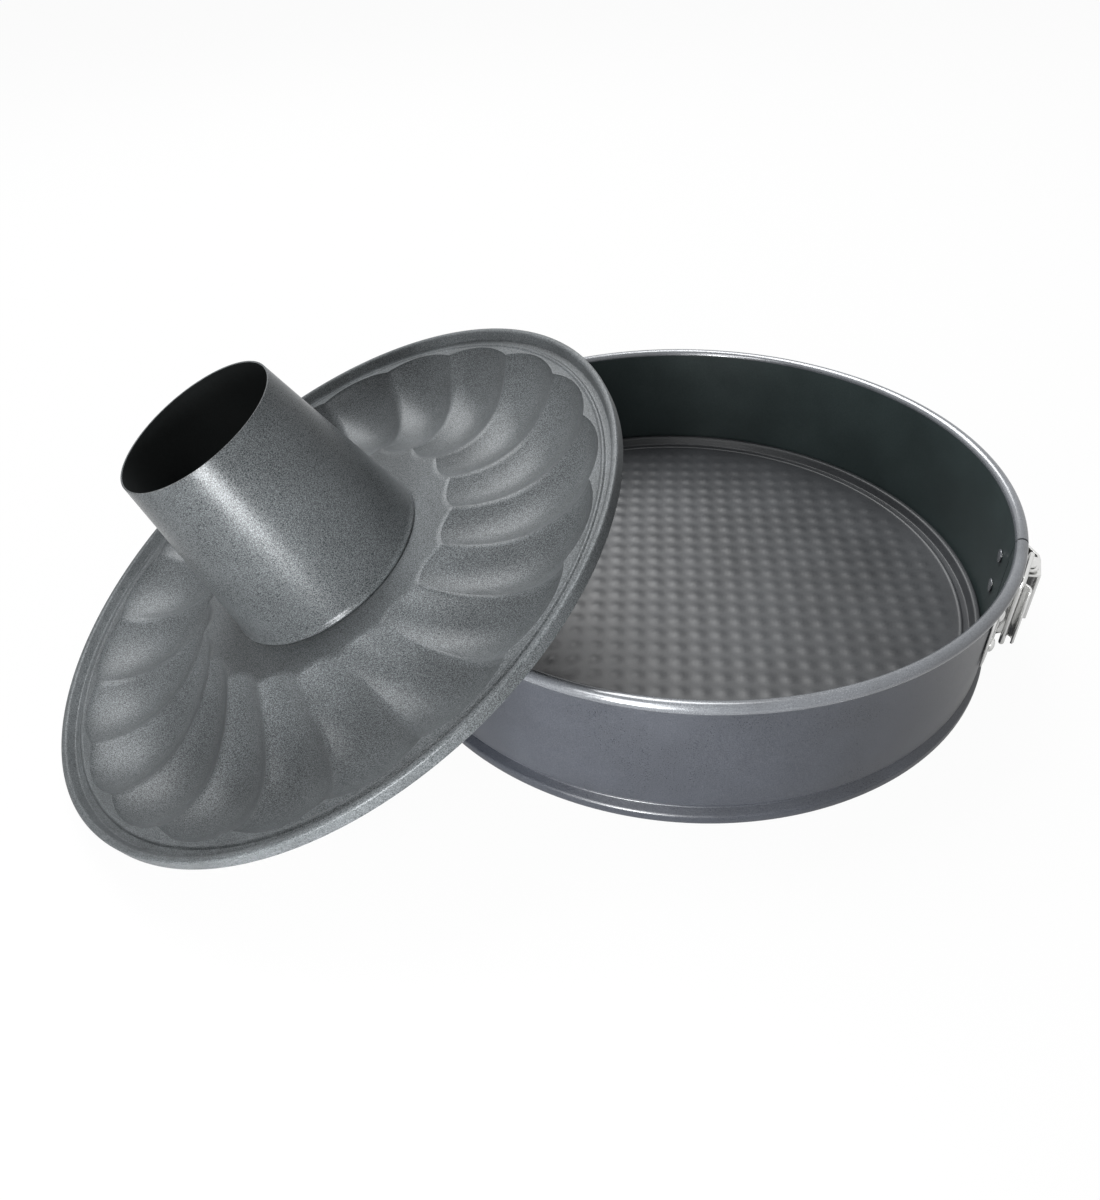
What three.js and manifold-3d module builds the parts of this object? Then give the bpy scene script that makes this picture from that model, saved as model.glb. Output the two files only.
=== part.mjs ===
// Savarin springform set: a clasped steel ring with a flat base in it, and a fluted tube insert leaning on its rim.
// Millimetres, +Z up. The ring's axis is the Z axis of the inner groups; the finished set stands on Z = 0.
import * as THREE from "three";
import { mergeVertices } from "three/addons/utils/BufferGeometryUtils.js";
import Module from "manifold-3d";

const wasm = await Module();
wasm.setup();

// Driving dimensions of the ring
const SHEET = 0.6; // steel sheet of ring, bases and tube
const WALL_R = 129.3; // middle of the ring's wall
const RING_H = 62.5; // foot to top of the rolled rim
const RIM_ROLL_R = 2.2; // middle of the sheet in the rolled rim
const FOOT_OUT = 1.5; // the foot stands out from the wall
const FOOT_FLANGE = 2.6; // flat turned in under the foot
const FOOT_BEND = 1.2; // bend between the flat and the foot's side
const LEDGE_IN = 1.8; // depth of the bead pressed inwards, which carries the base
const LEDGE_Z = 6.5; // middle height of that bead
const LEDGE_HALF = 2.2; // half of its height
const LEDGE_CREST = 0.6; // half of its flat crest
const FOLD = 0.4; // cut off the corner of each fold in the sheet
const RING_STEPS = 60;
const SPLIT_GAP = 1.0; // between the band's two ends at the clasp
const BACK_GAP = 0.3; // between the two half bands opposite the clasp
const FIT = 0.3; // clearance between pieces that seat on each other

// Bases: the flat one and the fluted one share this edge
const BASE_CLEARANCE = 0.9; // from the base's edge to the ring's wall
const SKIRT = 4.7; // turned down from the lip; it stands on the ring's ledge
const LIP_FLAT = 2.2; // flat top of the lip
const LIP_STEP = 1.3; // run of the step from the lip down to the channel
const LIP_DROP = 3.5; // from the lip's top down to the floor
const CHANNEL_DROP = 0.4; // channel below the floor
const CHANNEL_RUN = 2.8;
const CHANNEL_BEAD = 0.3; // bead above the floor, inside the channel
const BEAD_RUN = 0.75; // run of each side of that bead
const BASE_STEPS = 60;

// Fluted insert
const FLUTES = 20;
const FLUTE_FROM_TUBE = 14.4; // from the tube to the inner end of a flute
const FLUTE_FROM_EDGE = 0.15; // from the outer end of a flute to the edge's bead
const FLUTE_DEPTH = 16; // below the floor
const RIDGE_SHARE = 0.73; // depth of the ridges between flutes, as a share of the flutes' depth
const SCALLOP = 3.4; // how far the flutes' round ends reach past the ridges
const FLUTE_OUTER_END = 0.8; // how round a flute's outer end is: 0.5 is a half circle, 1 a straight slope
const FLUTE_INNER_END = 0.95;
const FLUTE_TWIST = -13; // degrees that a flute turns from its outer to its inner end
const FLUTE_BOW = 1.9; // degrees that its middle bows out from an even turn
const FLUTE_PHASE = 8.7; // degrees, turns the pattern about the tube
const FLUTE_STEPS = 4; // facets across one flute
const BELT_RINGS = 8; // rings of facets along one flute

// Tube in the middle of the insert
const TUBE_FOOT_R = 41.6; // outside, at the insert's floor
const TUBE_TOP_R = 31.6;
const TUBE_H = 72.7; // above the insert's floor
const TUBE_BEAD = 1.1; // bead that stands on the floor
const TUBE_FLANGE = 3.4; // flange rolled out under the floor
const TUBE_STEPS = 40;

// How the insert leans on the ring
const LEAN_TOWARD = 206.9; // heading that the tube leans to, degrees from +X
const LEAN_X = -141.2; // middle of the insert
const LEAN_Y = -65.4;

// Clasp on the outside of the ring
const CLASP_HEADING = -13; // heading of the split, degrees from +X
const CLASP_Z = 35; // middle height
const CLASP_SHEET = 1.0;
const PLATE_H = 25.8; // height of the brackets' plates
const HINGE_PLATE = [1.4, 12.5]; // degrees from the split
const HOOK_PLATE = [-14, -5];
const HINGE_RIVETS_AT = 7;
const HOOK_RIVETS_AT = -10.4;
const RIVET_SPREAD = 7.5; // above and below the middle
const RIVET_R = 1.6;
const RIVET_HEAD_R = 2.8;
const RIVET_DOME = 1.5;
const RIVET_INNER_HEAD = 0.5;
const PIVOT_OUT = 8.0; // pivot axis from the wall's outside
const PIVOT_ALONG = 5.0; // pivot axis from the split
const PIVOT_R = 1.4;
const PIN_HEAD_R = 2.4;
const PIN_HEAD = 0.9;
const EAR_R = 3.4; // round end of the hinge bracket's ears
const EAR_TO = 4.2; // the ears end here on the plate, degrees from the split
const LEVER_H = 22; // over its two legs
const LEVER_LEG_R = 3.8;
const LEVER_LEG_L = 10; // legs reach this far along from the pivot axis
const LEVER_WEB_BACK = 3; // web reaches this far behind the pivot axis
const LEVER_WEB_OUT = 4.0; // web outside the pivot axis
const LEVER_GRIP_OUT = 6.8; // the grip follows the wall at this distance
const LEVER_GRIP_FROM = 11.5; // degrees from the split
const LEVER_GRIP_TO = 20;
const LEVER_TIP_OUT = 5.1; // the fingertip end flares out this far from the grip
const LEVER_TIP_TO = 24;
const BAIL_WIRE_R = 1.1;
const BAIL_HOLE_R = 1.5;
const BAIL_H = 32; // middle to middle of its long wires
const BAIL_CORNER = 3.0;
const BAIL_SEAT_OUT = 0.2; // bail's seat in the lever, from the pivot axis
const BAIL_SEAT_ALONG = 5.0;
const HOOK_R = 3.8; // middle of the hook's sheet
const HOOK_AT = -11.5; // the hook's middle, along from the split
const HOOK_ROOT = 2.5; // straight lap of the hook on its plate
const HOOK_SWEEP = 215; // degrees that the hook curls round

// Looks close to the photographed finish
const COATING = new THREE.MeshStandardMaterial({ color: 0x3c4245, roughness: 0.5, metalness: 0.6 });
const FLOOR_COATING = new THREE.MeshStandardMaterial({ color: 0x474a50, roughness: 0.55, metalness: 0.5 });
const PLATED = new THREE.MeshStandardMaterial({ color: 0xc9ccc9, roughness: 0.25, metalness: 1.0 });

const degrees = THREE.MathUtils.degToRad;

// Geometry as a closed solid, with its faces turned outwards
function solidOf(geometry) {
  const bare = geometry.index ? geometry.toNonIndexed() : geometry.clone();
  bare.deleteAttribute("normal");
  bare.deleteAttribute("uv");
  const merged = mergeVertices(bare, 1e-3);
  const vertProperties = merged.attributes.position.array;
  const triVerts = new Uint32Array(merged.index.array);
  const made = new wasm.Manifold(new wasm.Mesh({ numProp: 3, vertProperties, triVerts }));
  if (made.volume() > 0) return made;
  triVerts.reverse();
  return new wasm.Manifold(new wasm.Mesh({ numProp: 3, vertProperties, triVerts }));
}

function geometryOf(solid) {
  const mesh = solid.getMesh();
  const geometry = new THREE.BufferGeometry();
  geometry.setAttribute("position", new THREE.BufferAttribute(new Float32Array(mesh.vertProperties), 3));
  geometry.setIndex(new THREE.BufferAttribute(new Uint32Array(mesh.triVerts), 1));
  geometry.computeVertexNormals();
  return geometry;
}

function meshOf(name, solid, material) {
  const mesh = new THREE.Mesh(geometryOf(solid), material);
  mesh.name = name;
  return mesh;
}

// Closed outline of a sheet that follows a path of points, with mitred corners
function sheetOutline(points, thickness) {
  const left = [];
  const right = [];
  points.forEach((point, i) => {
    const before = points[Math.max(i - 1, 0)];
    const after = points[Math.min(i + 1, points.length - 1)];
    const into = new THREE.Vector2().subVectors(i > 0 ? point : after, i > 0 ? before : point).normalize();
    const out = new THREE.Vector2().subVectors(after, i < points.length - 1 ? point : before).normalize();
    const along = new THREE.Vector2().addVectors(into, out).normalize();
    const reach = thickness / 2 / Math.max(along.dot(into), 0.4);
    const aside = new THREE.Vector2(-along.y, along.x).multiplyScalar(reach);
    left.push(point.clone().add(aside));
    right.push(point.clone().sub(aside));
  });
  return [...left, ...right.reverse()];
}

const V2 = (x, y) => new THREE.Vector2(x, y);
const onCircle = (radius, heading) => V2(radius * Math.cos(degrees(heading)), radius * Math.sin(degrees(heading)));

function arcPoints(x, y, radius, from, to, steps) {
  const points = [];
  for (let i = 0; i <= steps; i++) {
    points.push(onCircle(radius, from + ((to - from) * i) / steps).add(V2(x, y)));
  }
  return points;
}

// Closed outline (radius, height) turned about Z
function turned(outline, steps) {
  const geometry = new THREE.LatheGeometry([...outline, outline[0].clone()], steps);
  geometry.rotateX(Math.PI / 2);
  return solidOf(geometry);
}

// Flat outline in XY, raised along Z
function raised(outline, fromZ, height) {
  const geometry = new THREE.ExtrudeGeometry(new THREE.Shape(outline), { depth: height, bevelEnabled: false });
  geometry.translate(0, 0, fromZ);
  return solidOf(geometry);
}

function uprightRod(x, y, fromZ, toZ, radius, sides = 16) {
  const geometry = new THREE.CylinderGeometry(radius, radius, toZ - fromZ, sides);
  geometry.rotateX(Math.PI / 2);
  geometry.translate(x, y, (fromZ + toZ) / 2);
  return solidOf(geometry);
}

function block(low, high) {
  const size = high.clone().sub(low);
  const geometry = new THREE.BoxGeometry(size.x, size.y, size.z);
  geometry.translate((low.x + high.x) / 2, (low.y + high.y) / 2, (low.z + high.z) / 2);
  return solidOf(geometry);
}

const WALL_OUT = WALL_R + SHEET / 2;
const WALL_IN = WALL_R - SHEET / 2;
const FOOT_R = WALL_R + FOOT_OUT;
const LEDGE_R = WALL_R - LEDGE_IN;
const BASE_R = WALL_IN - BASE_CLEARANCE;
const RING_OUT = WALL_R + 2 * RIM_ROLL_R + SHEET / 2;

// Ring band: foot skirt, inward ledge, straight wall and rolled rim from one sheet
function bandProfile() {
  const middle = SHEET / 2;
  const rollZ = RING_H - middle - RIM_ROLL_R;
  return sheetOutline(
    [
      V2(FOOT_R - FOOT_FLANGE, middle),
      ...arcPoints(FOOT_R - FOOT_BEND, middle + FOOT_BEND, FOOT_BEND, -90, 0, 2),
      V2(FOOT_R, LEDGE_Z - LEDGE_HALF - FOLD),
      V2(FOOT_R - FOLD, LEDGE_Z - LEDGE_HALF),
      V2(LEDGE_R, LEDGE_Z - LEDGE_CREST),
      V2(LEDGE_R, LEDGE_Z + LEDGE_CREST),
      V2(WALL_R - FOLD, LEDGE_Z + LEDGE_HALF - FOLD),
      V2(WALL_R, LEDGE_Z + LEDGE_HALF),
      ...arcPoints(WALL_R + RIM_ROLL_R, rollZ, RIM_ROLL_R, 180, -85, 8),
    ],
    SHEET,
  );
}

// A hole for a rivet, along the radius at a heading and height
function radialRod(heading, z, fromR, toR, radius, sides = 12) {
  const geometry = new THREE.CylinderGeometry(radius, radius, toR - fromR, sides);
  geometry.rotateZ(-Math.PI / 2);
  geometry.translate((fromR + toR) / 2, 0, z);
  geometry.rotateZ(degrees(heading));
  return solidOf(geometry);
}

const rivetHeights = [CLASP_Z - RIVET_SPREAD, CLASP_Z + RIVET_SPREAD];

function rivetHoles(heading) {
  const [low, high] = rivetHeights.map((z) =>
    radialRod(heading, z, WALL_IN - 5, WALL_OUT + 5, RIVET_R + FIT),
  );
  return low.add(high);
}

// Half of the band, on one side of the split: side is -1 in front of it and +1 behind it
function halfBand(side, rivetHeading) {
  const far = RING_OUT + 10;
  const edges = [BACK_GAP / 2, far].map((y) => y * side).sort((a, b) => a - b);
  const half = block(new THREE.Vector3(-far, edges[0], -far), new THREE.Vector3(far, edges[1], far));
  const endCut = block(
    new THREE.Vector3(0, -SPLIT_GAP / 2, -far),
    new THREE.Vector3(far, SPLIT_GAP / 2, far),
  );
  return turned(bandProfile(), RING_STEPS).intersect(half).subtract(endCut).subtract(rivetHoles(rivetHeading));
}

// Height of the lip's top when a base's skirt stands on the ledge
const LEDGE_SLOPE = (LEDGE_HALF - FOLD - LEDGE_CREST) / (LEDGE_IN - FOLD);
const LEDGE_TOP = LEDGE_Z + LEDGE_CREST + (BASE_R - LEDGE_R) * LEDGE_SLOPE + (SHEET / 2) * Math.hypot(1, LEDGE_SLOPE);
const SEAT_Z = LEDGE_TOP + FIT + SKIRT;

// Edge that both bases share, from the skirt's foot inwards to the floor; the lip's top is at height zero
const STEP_R = BASE_R - LIP_FLAT;
const CHANNEL_OUT_R = STEP_R - LIP_STEP;
const CHANNEL_IN_R = CHANNEL_OUT_R - CHANNEL_RUN;
const FLOOR_R = CHANNEL_IN_R - 2 * BEAD_RUN;
const edgeMiddle = [
  V2(BASE_R - SHEET / 2, -SKIRT),
  V2(BASE_R - SHEET / 2, -SHEET / 2 - FOLD),
  V2(BASE_R - SHEET / 2 - FOLD, -SHEET / 2),
  V2(STEP_R, -SHEET / 2),
  V2(CHANNEL_OUT_R, -LIP_DROP - CHANNEL_DROP - SHEET / 2),
  V2(CHANNEL_IN_R, -LIP_DROP - CHANNEL_DROP - SHEET / 2),
  V2(CHANNEL_IN_R - BEAD_RUN, -LIP_DROP + CHANNEL_BEAD - SHEET / 2),
  V2(FLOOR_R, -LIP_DROP - SHEET / 2),
];
const edgeOutline = sheetOutline([...edgeMiddle, V2(0, -LIP_DROP - SHEET / 2)], SHEET);
const edgeUnder = edgeOutline.slice(0, edgeMiddle.length);
const edgeUpper = edgeOutline.slice(-edgeMiddle.length).reverse();

function flatBase() {
  const middle = [V2(0, -LIP_DROP), V2(0, -LIP_DROP - SHEET)];
  return turned([...edgeUpper, ...middle, ...edgeUnder.toReversed()], BASE_STEPS);
}

const FLUTE_IN_R = TUBE_FOOT_R + FLUTE_FROM_TUBE; // ends of a flute on its centre line
const FLUTE_OUT_R = FLOOR_R - FLUTE_FROM_EDGE;
const fluteSlope = (along) => (1 - along) ** FLUTE_OUTER_END * (1 + along) ** FLUTE_INNER_END;
const DEEPEST_ALONG = (FLUTE_INNER_END - FLUTE_OUTER_END) / (FLUTE_INNER_END + FLUTE_OUTER_END);

// Depth of the fluted belt below the floor. across runs from -1 to 1 from ridge to ridge.
function fluteDepth(radius, across) {
  const middle = (FLUTE_IN_R + FLUTE_OUT_R) / 2;
  const reach = (FLUTE_OUT_R - FLUTE_IN_R) / 2 - SCALLOP * across * across;
  const along = (radius - middle) / reach;
  if (Math.abs(along) >= 1) return 0;
  const hollow = 1 - (1 - RIDGE_SHARE) * across * across;
  return (FLUTE_DEPTH * hollow * fluteSlope(along)) / fluteSlope(DEEPEST_ALONG);
}

function fluteTwist(radius) {
  const share = THREE.MathUtils.clamp((FLUTE_OUT_R - radius) / (FLUTE_OUT_R - FLUTE_IN_R), 0, 1);
  return FLUTE_TWIST * share + FLUTE_BOW * 4 * share * (1 - share);
}

const TUBE_HOLE_R = TUBE_FOOT_R + FIT;

// Fluted insert: rings of points inwards over its upper face, then outwards again one sheet lower
function insertPlate() {
  const belt = [];
  for (let i = 0; i <= BELT_RINGS; i++) {
    const swing = Math.cos((Math.PI * i) / BELT_RINGS);
    belt.push((FLUTE_OUT_R + FLUTE_IN_R) / 2 + (swing * (FLUTE_OUT_R - FLUTE_IN_R)) / 2);
  }
  const floorRings = [...belt.map((r) => [r, true]), [TUBE_HOLE_R, false]];
  const count = FLUTES * FLUTE_STEPS;
  const positions = [];
  const addRing = (radius, height, fluted) => {
    for (let j = 0; j < count; j++) {
      const across = ((j % FLUTE_STEPS) / FLUTE_STEPS) * 2 - 1;
      const heading = degrees((360 * j) / count + fluteTwist(radius) + FLUTE_PHASE);
      const depth = fluted ? fluteDepth(radius, across) : 0;
      positions.push(radius * Math.cos(heading), radius * Math.sin(heading), height - depth);
    }
  };
  for (const { x, y } of edgeUpper.slice(0, -1)) addRing(x, y, false);
  for (const [radius, fluted] of floorRings) addRing(radius, -LIP_DROP, fluted);
  for (const [radius, fluted] of floorRings.toReversed()) addRing(radius, -LIP_DROP - SHEET, fluted);
  for (const { x, y } of edgeUnder.slice(0, -1).reverse()) addRing(x, y, false);
  const rings = positions.length / 3 / count;
  const triangles = [];
  for (let ring = 0; ring < rings; ring++)
    for (let j = 0; j < count; j++) {
      const next = (ring + 1) % rings;
      const [a, b] = [ring * count + j, ring * count + ((j + 1) % count)];
      const [c, d] = [next * count + ((j + 1) % count), next * count + j];
      triangles.push(a, b, c, a, c, d);
    }
  const geometry = new THREE.BufferGeometry();
  geometry.setAttribute("position", new THREE.Float32BufferAttribute(positions, 3));
  geometry.setIndex(triangles);
  return solidOf(geometry);
}

// Tube: flange under the floor, neck through the hole, bead on the floor, then the tapered wall
function insertTube() {
  const floor = -LIP_DROP;
  const under = floor - SHEET - FIT - SHEET / 2;
  const neck = TUBE_FOOT_R - SHEET / 2;
  const beadZ = floor + FIT + SHEET / 2;
  return turned(
    sheetOutline(
      [
        V2(neck + TUBE_FLANGE, under),
        V2(neck + 0.7, under),
        V2(neck, under + 0.7),
        V2(neck, beadZ - 0.2),
        V2(neck + TUBE_BEAD, beadZ + 0.4),
        V2(neck + TUBE_BEAD, beadZ + 1.0),
        V2(neck - 0.2, beadZ + 2.0),
        V2(TUBE_TOP_R - SHEET / 2, floor + TUBE_H),
      ],
      SHEET,
    ),
    TUBE_STEPS,
  );
}

// Sector of the wall's outside, as a curved plate
function curvedPlate([from, to], innerR, thickness, fromZ, height) {
  const outer = arcPoints(0, 0, innerR + thickness, from, to, 6);
  const inner = arcPoints(0, 0, innerR, to, from, 6);
  return raised([...outer, ...inner], fromZ, height);
}

const PLATE_R = WALL_OUT + FIT; // inside of the brackets' plates
const PLATE_OUT = PLATE_R + CLASP_SHEET;
const PIVOT = V2(WALL_OUT + PIVOT_OUT, PIVOT_ALONG);
const plateZ = CLASP_Z - PLATE_H / 2;

// Hinge bracket: a plate with an ear folded out at its top and one at its bottom
function hingeBracket() {
  const ear = [
    onCircle(PLATE_R + 0.2, HINGE_PLATE[0]),
    ...arcPoints(PIVOT.x, PIVOT.y, EAR_R, -100, 100, 7),
    onCircle(PLATE_R + 0.2, EAR_TO),
  ];
  let bracket = curvedPlate(HINGE_PLATE, PLATE_R, CLASP_SHEET, plateZ, PLATE_H);
  for (const z of [plateZ, plateZ + PLATE_H - CLASP_SHEET]) bracket = bracket.add(raised(ear, z, CLASP_SHEET));
  const pivotHole = uprightRod(PIVOT.x, PIVOT.y, plateZ - 1, plateZ + PLATE_H + 1, PIVOT_R + FIT);
  return bracket.subtract(pivotHole).subtract(rivetHoles(HINGE_RIVETS_AT));
}

const HOOK = V2(PLATE_R + CLASP_SHEET / 2 + HOOK_R, HOOK_AT);

// Hook bracket: a plate whose end next to the split curls out and back over the bail
function hookBracket() {
  const curl = sheetOutline(
    [V2(HOOK.x - HOOK_R, HOOK_AT - HOOK_ROOT), ...arcPoints(HOOK.x, HOOK_AT, HOOK_R, 180, 180 - HOOK_SWEEP, 12)],
    CLASP_SHEET,
  );
  const plate = curvedPlate(HOOK_PLATE, PLATE_R, CLASP_SHEET, plateZ, PLATE_H);
  return plate.add(raised(curl, plateZ, PLATE_H)).subtract(rivetHoles(HOOK_RIVETS_AT));
}

// Lever: a web outside the pivot that runs on as a grip along the wall, with two legs folded in at the pivot
function clampLever() {
  const webX = PIVOT.x + LEVER_WEB_OUT;
  const legTo = PIVOT.y + LEVER_LEG_L;
  const legZ = LEVER_H / 2 - CLASP_SHEET;
  const gripR = WALL_OUT + LEVER_GRIP_OUT;
  const web = sheetOutline(
    [
      V2(webX, PIVOT.y - LEVER_WEB_BACK),
      V2(webX, legTo - 2 * CLASP_SHEET),
      V2(webX - CLASP_SHEET / 2, legTo + CLASP_SHEET),
      ...arcPoints(0, 0, gripR, LEVER_GRIP_FROM, LEVER_GRIP_TO, 5),
      onCircle(gripR + LEVER_TIP_OUT / 3, (2 * LEVER_GRIP_TO + LEVER_TIP_TO) / 3),
      onCircle(gripR + LEVER_TIP_OUT, LEVER_TIP_TO),
    ],
    CLASP_SHEET,
  );
  const leg = [
    V2(webX, PIVOT.y - LEVER_WEB_BACK),
    V2(webX, legTo - CLASP_SHEET),
    V2(PIVOT.x, legTo),
    ...arcPoints(PIVOT.x, PIVOT.y, LEVER_LEG_R, 170, 270, 5),
  ];
  let lever = raised(web, CLASP_Z - LEVER_H / 2, LEVER_H);
  for (const z of [CLASP_Z - LEVER_H / 2, CLASP_Z + legZ]) lever = lever.add(raised(leg, z, CLASP_SHEET));
  const low = CLASP_Z - LEVER_H;
  const high = CLASP_Z + LEVER_H;
  const pivotHole = uprightRod(PIVOT.x, PIVOT.y, low, high, PIVOT_R + FIT);
  const bailHole = uprightRod(PIVOT.x + BAIL_SEAT_OUT, PIVOT.y + BAIL_SEAT_ALONG, low, high, BAIL_HOLE_R);
  return lever.subtract(pivotHole).subtract(bailHole);
}

// Pivot pin through ears and legs, with a flat head at each end
function pivotPin() {
  const reach = PLATE_H / 2 + FIT;
  const shank = uprightRod(PIVOT.x, PIVOT.y, CLASP_Z - reach - 0.1, CLASP_Z + reach + 0.1, PIVOT_R);
  const foot = uprightRod(PIVOT.x, PIVOT.y, CLASP_Z - reach - PIN_HEAD, CLASP_Z - reach, PIN_HEAD_R);
  const head = uprightRod(PIVOT.x, PIVOT.y, CLASP_Z + reach, CLASP_Z + reach + PIN_HEAD, PIN_HEAD_R);
  return shank.add(foot).add(head);
}

// Bail: one closed loop of wire, through the lever's legs at one end and in the hook at the other
function bailLoop() {
  const seat = V2(PIVOT.x + BAIL_SEAT_OUT, PIVOT.y + BAIL_SEAT_ALONG);
  const run = HOOK.distanceTo(seat);
  const toHook = HOOK.clone().sub(seat).normalize();
  const half = BAIL_H / 2;
  const corners = [
    [run - BAIL_CORNER, half - BAIL_CORNER, 0],
    [BAIL_CORNER, half - BAIL_CORNER, 90],
    [BAIL_CORNER, BAIL_CORNER - half, 180],
    [run - BAIL_CORNER, BAIL_CORNER - half, 270],
  ];
  const points = corners.flatMap(([x, y, from]) =>
    arcPoints(x, y, BAIL_CORNER, from, from + 90, 4).map(
      (p) => new THREE.Vector3(seat.x + toHook.x * p.x, seat.y + toHook.y * p.x, CLASP_Z + p.y),
    ),
  );
  const path = new THREE.CatmullRomCurve3(points, true, "centripetal");
  return solidOf(new THREE.TubeGeometry(path, 56, BAIL_WIRE_R, 8, true));
}

// Rivet: domed head outside the bracket, shank through band and bracket, flat head inside the wall
function rivet(heading, z) {
  const headAt = PLATE_OUT + 0.1;
  const innerAt = WALL_IN - 0.3;
  const outline = [
    V2(0, innerAt - RIVET_INNER_HEAD),
    V2(RIVET_HEAD_R, innerAt - RIVET_INNER_HEAD),
    V2(RIVET_HEAD_R, innerAt),
    V2(RIVET_R, innerAt),
    V2(RIVET_R, headAt),
    V2(RIVET_HEAD_R, headAt),
    V2(RIVET_HEAD_R * 0.8, headAt + RIVET_DOME * 0.65),
    V2(RIVET_HEAD_R * 0.4, headAt + RIVET_DOME * 0.95),
    V2(0, headAt + RIVET_DOME),
  ];
  const geometry = new THREE.LatheGeometry([...outline, outline[0].clone()], 12);
  geometry.rotateZ(-Math.PI / 2);
  geometry.translate(0, 0, z);
  geometry.rotateZ(degrees(heading));
  return solidOf(geometry);
}

// Ring and clasp, in a group turned so that the split lies at its heading
const ring = new THREE.Group();
ring.rotation.z = degrees(CLASP_HEADING);
ring.add(
  meshOf("band_front_half", halfBand(-1, HOOK_RIVETS_AT), COATING),
  meshOf("band_back_half", halfBand(1, HINGE_RIVETS_AT), COATING),
  meshOf("hinge_bracket", hingeBracket(), PLATED),
  meshOf("hook_bracket", hookBracket(), PLATED),
  meshOf("clamp_lever", clampLever(), PLATED),
  meshOf("lever_pivot_pin", pivotPin(), PLATED),
  meshOf("tension_bail", bailLoop(), PLATED),
);
for (const [label, heading] of [["hinge", HINGE_RIVETS_AT], ["hook", HOOK_RIVETS_AT]])
  rivetHeights.forEach((z, i) =>
    ring.add(meshOf(`${label}_rivet_${i ? "upper" : "lower"}`, rivet(heading, z), PLATED)),
  );

const base = meshOf("flat_base", flatBase(), FLOOR_COATING);
base.position.z = SEAT_Z;

// Insert: it stands on its lowest edge or flute, and its tilt is the least at which its underside clears the
// rolled rim
function leanFrame(tilt) {
  const lowest = [BASE_R * Math.sin(tilt) + SKIRT * Math.cos(tilt)];
  for (let radius = FLUTE_IN_R; radius < FLUTE_OUT_R; radius += 0.5) {
    const under = LIP_DROP + fluteDepth(radius, 0) + SHEET;
    lowest.push(radius * Math.sin(tilt) + under * Math.cos(tilt));
  }
  const rise = Math.max(...lowest);
  const turn = new THREE.Euler(0, tilt, degrees(LEAN_TOWARD), "ZYX");
  return new THREE.Matrix4().makeRotationFromEuler(turn).setPosition(LEAN_X, LEAN_Y, rise);
}

// Clearance of the underside over one point, given in the insert's own frame
function clearanceOver({ x, y, z }) {
  const radius = Math.hypot(x, y);
  if (radius > BASE_R || radius < TUBE_HOLE_R) return Infinity;
  if (radius > STEP_R) return -SHEET - z;
  const heading = THREE.MathUtils.radToDeg(Math.atan2(y, x)) - fluteTwist(radius) - FLUTE_PHASE;
  const across = THREE.MathUtils.euclideanModulo((heading * FLUTES) / 360, 1) * 2 - 1;
  const depth = Math.max(fluteDepth(radius, across), CHANNEL_DROP);
  return -LIP_DROP - depth - SHEET - z;
}

const rimRadius = RIM_ROLL_R + SHEET / 2;
const rimPoints = [];
for (let heading = 150; heading < 270; heading += 0.5)
  for (let around = -30; around <= 210; around += 15) {
    const section = onCircle(rimRadius, around);
    const spot = onCircle(WALL_R + RIM_ROLL_R + section.x, heading);
    rimPoints.push(new THREE.Vector3(spot.x, spot.y, RING_H - rimRadius + section.y));
  }

function leastClearance(tilt) {
  const inverse = leanFrame(tilt).invert();
  return Math.min(...rimPoints.map((spot) => clearanceOver(spot.clone().applyMatrix4(inverse))));
}

let [flatter, steeper] = [degrees(20), degrees(40)];
for (let i = 0; i < 40; i++) {
  const tilt = (flatter + steeper) / 2;
  if (leastClearance(tilt) > FIT) steeper = tilt;
  else flatter = tilt;
}
const insert = new THREE.Group();
insert.applyMatrix4(leanFrame(steeper));
insert.add(
  meshOf("insert_plate", insertPlate(), FLOOR_COATING),
  meshOf("insert_tube", insertTube(), COATING),
);

// The set is moved so that the middle of its footprint is the origin
const set = new THREE.Group();
set.add(ring, base, insert);
const box = new THREE.Box3().setFromObject(set, true);
set.position.set(-(box.min.x + box.max.x) / 2, -(box.min.y + box.max.y) / 2, 0);

const part = new THREE.Group();
part.add(set);

export default part;
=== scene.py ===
"""Springform cake ring with a plated clasp, its flat base and a fluted savarin insert."""
import math

import bmesh
import bpy
from mathutils import Matrix, Vector


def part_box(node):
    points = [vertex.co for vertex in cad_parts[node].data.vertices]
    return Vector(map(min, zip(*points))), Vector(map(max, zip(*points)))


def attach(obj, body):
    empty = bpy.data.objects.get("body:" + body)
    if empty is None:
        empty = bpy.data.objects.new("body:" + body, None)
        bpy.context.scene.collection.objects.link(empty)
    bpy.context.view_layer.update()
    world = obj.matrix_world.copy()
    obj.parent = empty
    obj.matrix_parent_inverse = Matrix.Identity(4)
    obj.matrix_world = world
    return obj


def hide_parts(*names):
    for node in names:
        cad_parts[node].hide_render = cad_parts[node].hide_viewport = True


bl_info = {
    "name": "Savarin springform set",
    "version": (1, 0, 0),
    "blender": (4, 5, 0),
    "location": "View3D > Sidebar > Springform",
    "description": "Builds the coated ring, base, fluted insert and plated clasp over the fixed frame",
    "category": "Object",
}

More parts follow.
